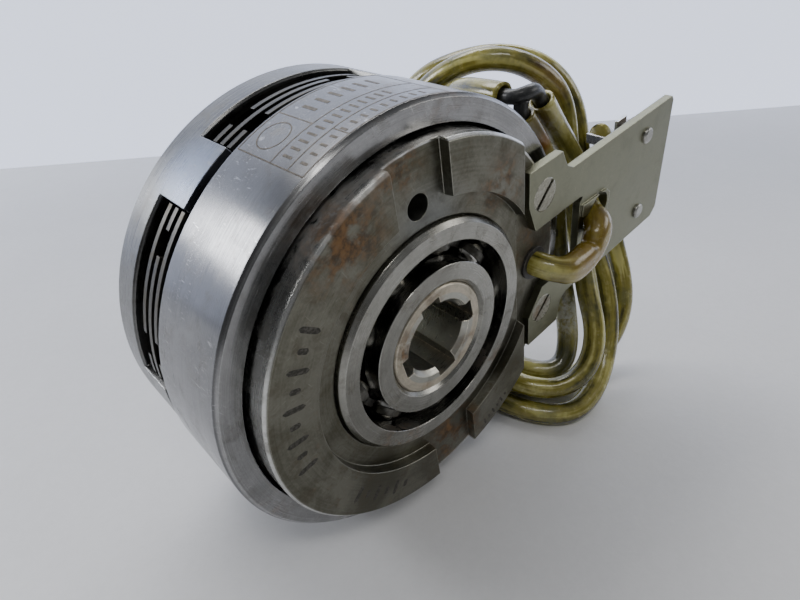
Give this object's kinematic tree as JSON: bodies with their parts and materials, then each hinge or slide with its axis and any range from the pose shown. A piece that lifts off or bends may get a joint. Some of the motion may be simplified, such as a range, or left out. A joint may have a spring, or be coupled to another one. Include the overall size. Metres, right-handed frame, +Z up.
{
  "type": "electromagnetic multi-disc clutch",
  "caption": "Electromagnetic multi-disc clutch with a standing coil: splined hub on a ball bearing, slotted pot, rotor ring, fingered driver cup, bracket plate and coiled sleeved leads.",
  "frame": {"origin": "on the clutch axis, in the plane of the rotor ring's front rim", "axes": "+Y along the clutch axis from the bearing side to the driver side, +Z up as the clutch lies on its rims, +X towards the bracket and the leads"},
  "size_m": [0.142, 0.0868, 0.0952],
  "materials": {
    "pot_steel": "turned and ground, oily grey-brown with light rust",
    "bobbin_plastic": "moulded",
    "copper_wire": "enamelled copper",
    "resin": "cast resin",
    "race_steel": "ground",
    "ball_steel": "polished",
    "cage_steel": "pressed sheet",
    "bracket_steel": "dull plated sheet",
    "screw_steel": "dull plated",
    "block_plastic": "moulded",
    "rivet_steel": "dull plated",
    "tag_metal": "tinned",
    "grommet_rubber": "moulded",
    "hub_steel": "machined, lightly rusted",
    "pole_steel": "turned",
    "ring_brass": "turned",
    "rotor_steel": "ground, worn",
    "clip_steel": "blued spring steel",
    "disc_steel": "flat ground",
    "friction_lining": "sintered lining",
    "driver_steel": "turned, worn",
    "bush_bronze": "sintered bronze",
    "sleeve_plastic": "soft, half clear, yellowed",
    "core_plastic": "soft insulation"
  },
  "bodies": {
    "stator": {"magnet_body": "pot_steel", "coil_bobbin": "bobbin_plastic", "coil_winding": "copper_wire", "coil_potting": "resin", "bearing_outer_race": "race_steel", "bracket_plate": "bracket_steel", "bracket_screws": "screw_steel", "terminal_block": "block_plastic", "terminal_rivets": "rivet_steel", "terminal_tag": "tag_metal", "lead_grommet": "grommet_rubber", "field_lead": "sleeve_plastic", "lead_core": "core_plastic", "supply_lead": "sleeve_plastic", "earth_lead": "sleeve_plastic"},
    "cage": {"bearing_balls": "ball_steel", "bearing_cage": "cage_steel"},
    "rotor": {"splined_hub": "hub_steel", "bearing_inner_race": "race_steel", "inner_pole": "pole_steel", "brass_ring": "ring_brass", "outer_pole_ring": "rotor_steel", "retaining_clip": "clip_steel", "thrust_washer": "clip_steel"},
    "driver": {"driver_ring": "driver_steel", "driver_bush": "bush_bronze"},
    "armature": {"armature_plate": "disc_steel"},
    "inner_disc_1": {"inner_disc_1": "friction_lining"},
    "outer_disc_1": {"outer_disc_1": "disc_steel"},
    "inner_disc_2": {"inner_disc_2": "friction_lining"},
    "outer_disc_2": {"outer_disc_2": "disc_steel"},
    "inner_disc_3": {"inner_disc_3": "friction_lining"},
    "outer_disc_3": {"outer_disc_3": "disc_steel"}
  },
  "joints": [
    {"name": "rotor_spin", "type": "hinge", "parent": "stator", "child": "rotor", "pos_m": [0, 0, 0], "axis": [0, 1, 0], "continuous": true},
    {"name": "cage_spin", "type": "hinge", "parent": "stator", "child": "cage", "pos_m": [0, 0, 0], "axis": [0, 1, 0], "continuous": true},
    {"name": "driver_spin", "type": "hinge", "parent": "rotor", "child": "driver", "pos_m": [0, 0, 0], "axis": [0, 1, 0], "continuous": true},
    {"name": "armature_slide", "type": "slide", "parent": "rotor", "child": "armature", "axis": [0, -1, 0], "range_m": [0, 0.003], "stiffness_N_per_m": 400},
    {"name": "inner_disc_1_slide", "type": "slide", "parent": "rotor", "child": "inner_disc_1", "axis": [0, -1, 0], "range_m": [0, 0.0019]},
    {"name": "outer_disc_1_slide", "type": "slide", "parent": "driver", "child": "outer_disc_1", "axis": [0, -1, 0], "range_m": [0, 0.00214]},
    {"name": "inner_disc_2_slide", "type": "slide", "parent": "rotor", "child": "inner_disc_2", "axis": [0, -1, 0], "range_m": [0, 0.00229]},
    {"name": "outer_disc_2_slide", "type": "slide", "parent": "driver", "child": "outer_disc_2", "axis": [0, -1, 0], "range_m": [0, 0.00244]},
    {"name": "inner_disc_3_slide", "type": "slide", "parent": "rotor", "child": "inner_disc_3", "axis": [0, -1, 0], "range_m": [0, 0.00259]},
    {"name": "outer_disc_3_slide", "type": "slide", "parent": "driver", "child": "outer_disc_3", "axis": [0, -1, 0], "range_m": [0, 0.00274]}
  ],
  "couplings": [
    {"joint": "cage_spin", "follows": "rotor_spin", "ratio": 0.3987},
    {"joint": "inner_disc_1_slide", "follows": "armature_slide", "ratio": 0.6},
    {"joint": "outer_disc_1_slide", "follows": "armature_slide", "ratio": 0.68},
    {"joint": "inner_disc_2_slide", "follows": "armature_slide", "ratio": 0.73},
    {"joint": "outer_disc_2_slide", "follows": "armature_slide", "ratio": 0.78},
    {"joint": "inner_disc_3_slide", "follows": "armature_slide", "ratio": 0.83},
    {"joint": "outer_disc_3_slide", "follows": "armature_slide", "ratio": 0.88}
  ]
}
